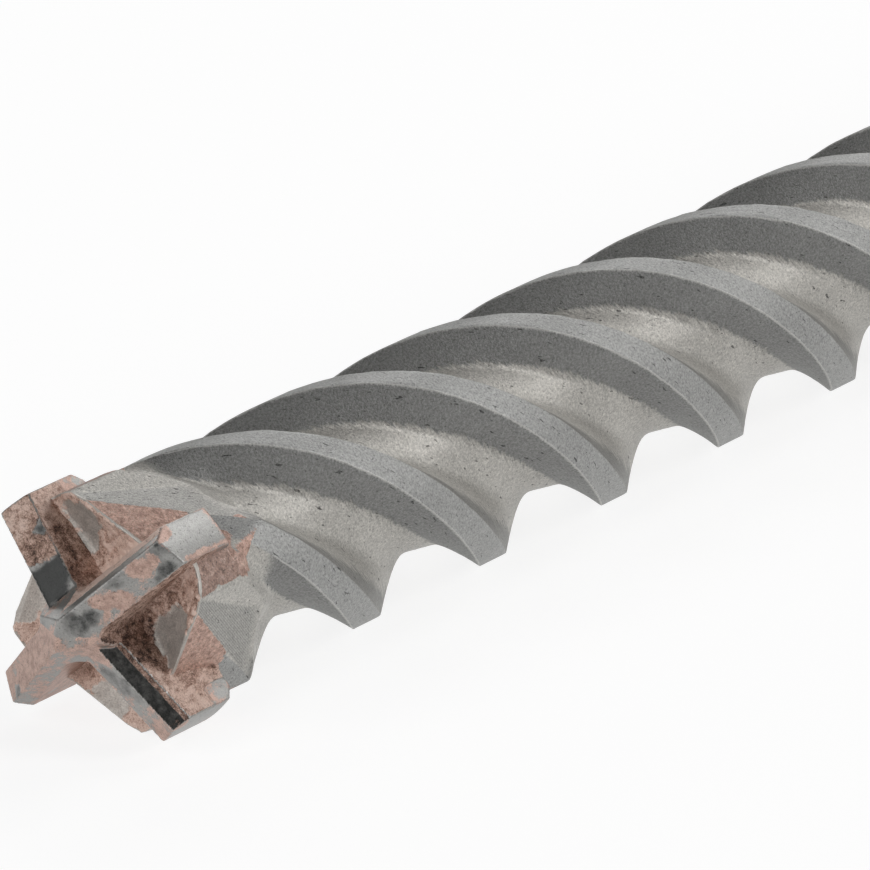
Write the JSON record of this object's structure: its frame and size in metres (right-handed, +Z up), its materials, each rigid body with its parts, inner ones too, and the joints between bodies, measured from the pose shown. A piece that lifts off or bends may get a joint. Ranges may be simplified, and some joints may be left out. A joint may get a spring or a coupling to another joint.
{
  "type": "masonry drill bit",
  "caption": "Fluted steel hammer drill bit with a solid crossed carbide head brazed into its front and a plain slotted shank, lying on its side.",
  "frame": {"origin": "centre of the underside, where the bit's lands touch the surface it lies on", "axes": "+X along the bit's axis from the point to the shank's end, +Z up from the surface it lies on, +Y across"},
  "size_m": [0.3216, 0.0222, 0.0222],
  "materials": {
    "carbide": "sintered tungsten carbide, smooth dark grey with pinkish copper stains and bright ground cutting edges",
    "braze": "rough oxidised copper braze, granular and dark in the troughs",
    "steel": "hardened steel, matt grey from blasting, fine grain with small dark pits and bright land edges"
  },
  "bodies": {
    "root": {"carbide_head": "carbide", "braze_joint": "braze", "fluted_shaft": "steel"}
  },
  "joints": []
}
